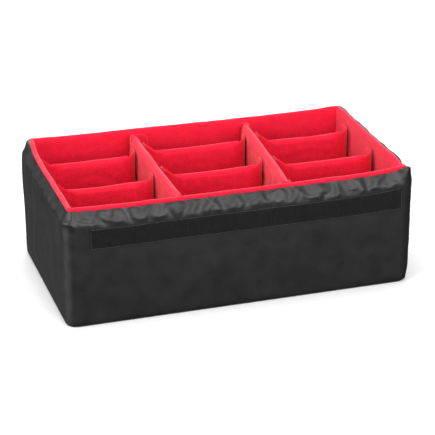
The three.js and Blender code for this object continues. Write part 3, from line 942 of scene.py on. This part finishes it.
dividers = [j["name"][:-len("_lift")] for j in frame["joints"] if j["name"].endswith("_lift")]
plans = {divider: plan_of(divider) for divider in dividers}
for number, divider in enumerate(dividers):
    plan = plans[divider]
    is_long = divider.startswith("long")
    taper = (10 if is_long else 17) * MM
    spread = (4.5 if is_long else 0.5) * MM
    thick = plan["far"] - plan["near"]
    low = Vector((plan["from"] - spread, plan["near"], plan["bottom"]))
    high = Vector((plan["to"] + spread, plan["far"], plan["top"]))
    pad = block(f"{divider}_pad", low, high)
    cut_along(pad, 0, round((high.x - low.x) / PAD_CELL) - 1)
    cut_along(pad, 2, round((high.z - low.z) / PAD_CELL) - 1)
    cut_along(pad, 1, 3)
    points = points_of(pad)
    end = np.minimum(points[:, 0] - low.x, high.x - points[:, 0])
    share = (points[:, 1] - low.y) / thick
    local = END_THICK + (thick - END_THICK) * ease(end, -3 * MM, taper)
    points[:, 1] = low.y + 0.9 * MM * (1 - ease(end, 0, 9 * MM)) + share * local
    horn = 0.2 * MM if is_long else 1.6 * MM
    run = (points[:, 0] - low.x) / (high.x - low.x)
    dip = (0.4 if is_long else 0.9) * MM
    crown = plan["top"] + horn * (1 - ease(end, 0, 16 * MM)) - dip * np.sin(np.pi * run)
    crown += 0.5 * MM * cloudy(points * np.array([1, 0, 0]) + number, 0.045, 31)
    round_off = local / 2 * (1 - np.sqrt(np.clip(1 - (2 * share - 1) ** 2, 0, 1)) * 0.97)
    points[:, 2] = low.z + (points[:, 2] - low.z) * (crown - round_off - low.z) / (high.z - low.z)
    put_points(pad, points)
    facing_out(pad)
    # Light pressure swells the pad between its bottom edge and its ends, which are held.
    start = points_of(pad)
    weights = np.full(len(start), 0.12)
    weights[start[:, 2] < low.z + 0.012] = 1
    weights[end < 3 * MM] = 1
    settle_cloth(pad, hold(pad, weights), grow=0.012, pressure=1.5, stiff=15, bending=0.4)
    moved = points_of(pad) - start
    far = np.linalg.norm(moved, axis=1)
    moved *= (np.minimum(far, PAD_SWELL) / np.maximum(far, 1e-9))[:, None]
    put_points(pad, start + moved)
    pad.vertex_groups.clear()
    smooth_finish(pad, 1)
    put_points(pad, into_place(points_of(pad), plan))
    facing_out(pad)
    pad.data.materials.append(loop_cloth)
    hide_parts(f"{divider}_cover", f"{divider}_core")
    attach(pad, f"{divider}_divider")

# ---------------------------------------------------------------------------------------------
# End tabs: a flap of doubled loop cloth sewn to each end of a divider, bent along the wall or
# the divider beside it, with hook tape sewn on the side that presses against it.
TAB_THICK = 2.2 * MM
TAB_INTO_PAD = 7 * MM
TAB_PAST_HOOK = 3.2 * MM
HOOK_TO_MIDDLE = 2.1 * MM
LONG_SWEEP, CROSS_SWEEP = 6.5 * MM, 15 * MM
BEND_PULL = 0.58
LONG_TIP, LEFT_TIP, RIGHT_TIP = 0.3 * MM, 9 * MM, 5.5 * MM


def tab_line(plan, tab, pivot, outwards):
    """A tab's middle line in plan, from inside the divider's end to the tab's free edge, and the
    hook tape's middle, its way along the wall, and its half width."""
    corners = np.array([v.co for v in frame["nodes"][f"{tab}_hook"].data.vertices])
    flat = corners[:, :2]
    middle = (flat.max(0) + flat.min(0)) / 2
    spread = flat - middle
    way = spread[np.argmax((spread ** 2).sum(1))]
    ends = [p for p in spread if p @ way > 0]
    way = sum(ends) / len(ends)
    half = np.linalg.norm(way)
    way = way / half
    if way @ plan["thick_way"] < 0:
        way = -way
    line_middle = middle - outwards * HOOK_TO_MIDDLE
    matrix = np.array([outwards, -way]).T
    reach, _ = np.linalg.solve(matrix, line_middle - pivot)
    corner_point = pivot + outwards * reach
    sweep = LONG_SWEEP if "long" in plan["tabs"][0] else CROSS_SWEEP
    inside = corner_point - outwards * (sweep + TAB_INTO_PAD)
    leave = corner_point - outwards * sweep
    arrive = corner_point + way * sweep
    free = line_middle + way * (half + TAB_PAST_HOOK)
    line = [inside + (leave - inside) * t for t in np.linspace(0, 1, 5)[:-1]]
    for t in np.linspace(0, 1, 13)[:-1]:
        a, b = leave + outwards * sweep * BEND_PULL, arrive - way * sweep * BEND_PULL
        near_end = (1 - t) ** 3 * leave + 3 * (1 - t) ** 2 * t * a
        line.append(near_end + 3 * (1 - t) * t ** 2 * b + t ** 3 * arrive)
    line += [arrive + (free - arrive) * t for t in np.linspace(0, 1, 8)]
    return np.array(line), leave, arrive, middle, way, half


for divider in dividers:
    plan = plans[divider]
    is_long = divider.startswith("long")
    pivots = (plan["first"], plan["second"])
    for tab, pivot, outwards in zip(plan["tabs"], pivots, (-plan["long_way"], plan["long_way"])):
        line, leave, arrive, hook_middle, hook_way, hook_half = tab_line(plan, tab, pivot, outwards)
        columns, levels = len(line), 28
        bpy.ops.object.select_all(action="DESELECT")
        bpy.ops.mesh.primitive_grid_add(x_subdivisions=columns - 1, y_subdivisions=levels, size=1)
        flap = bpy.context.object
        flap.name = f"{tab}_cloth_tab"
        points = points_of(flap)
        column = np.round((points[:, 0] + 0.5) * (columns - 1)).astype(int)
        up = points[:, 1] + 0.5
        past = column / (columns - 1)
        left_end = tab == plan["tabs"][0]
        tip = LONG_TIP if is_long else LEFT_TIP if left_end else RIGHT_TIP
        horn = tip * ease(past, 0.1, 0.5 if left_end else 0.6)
        fall = (1.0 if is_long else 1.5) * MM * ease(past, 0.75, 1.0)
        crown = plan["top"] - 0.8 * MM + horn - fall
        rounding = 4 * MM * np.clip((past - 0.86) / 0.14, 0, 1) ** 2.5
        bottom = plan["bottom"] + 0.6 * MM
        points[:, 2] = bottom + rounding * (1 - up) + up * (crown - rounding * up - bottom)
        points[:, :2] = line[column]
        put_points(flap, points)
        finish_with(flap, "SOLIDIFY", thickness=TAB_THICK, offset=0, use_rim=True)
        facing_out(flap)
        smooth_finish(flap, 1)
        flap.data.materials.append(loop_cloth)
        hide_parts(f"{tab}_tab")
        height = plan["top"] - plan["bottom"]
        z = (plan["bottom"] + plan["top"]) / 2
        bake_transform(flap)

        node_low, node_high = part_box(f"{tab}_hook")
        face_low = Vector((-hook_half, -0.3 * MM, node_low.z))
        face_high = Vector((hook_half, 0.55 * MM, node_high.z))
        patch = block(f"{tab}_hook_tape", face_low, face_high)
        finish_with(patch, "BEVEL", width=0.3 * MM, segments=2, limit_method="ANGLE", angle_limit=0.7)
        rows = hook_rows(
            "rows",
            Vector((face_low.x + 1.5 * MM, face_low.y - 0.45 * MM, face_low.z + 2 * MM)),
            Vector((face_high.x - 1.0 * MM, face_low.y + 0.1 * MM, face_high.z - 2 * MM)),
        )
        patch = join([patch, rows])
        points = points_of(patch)
        wall_side = np.array([hook_way[1], -hook_way[0]])
        if wall_side @ outwards < 0:
            wall_side = -wall_side
        flat = hook_middle + points[:, :1] * hook_way - (points[:, 1:2] + 0.15 * MM) * wall_side
        put_points(patch, np.column_stack([flat, points[:, 2]]))
        facing_out(patch)
        patch.data.materials.clear()
        patch.data.materials.append(hook_tape)
        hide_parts(f"{tab}_hook")
        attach(patch, f"{tab}_flap")
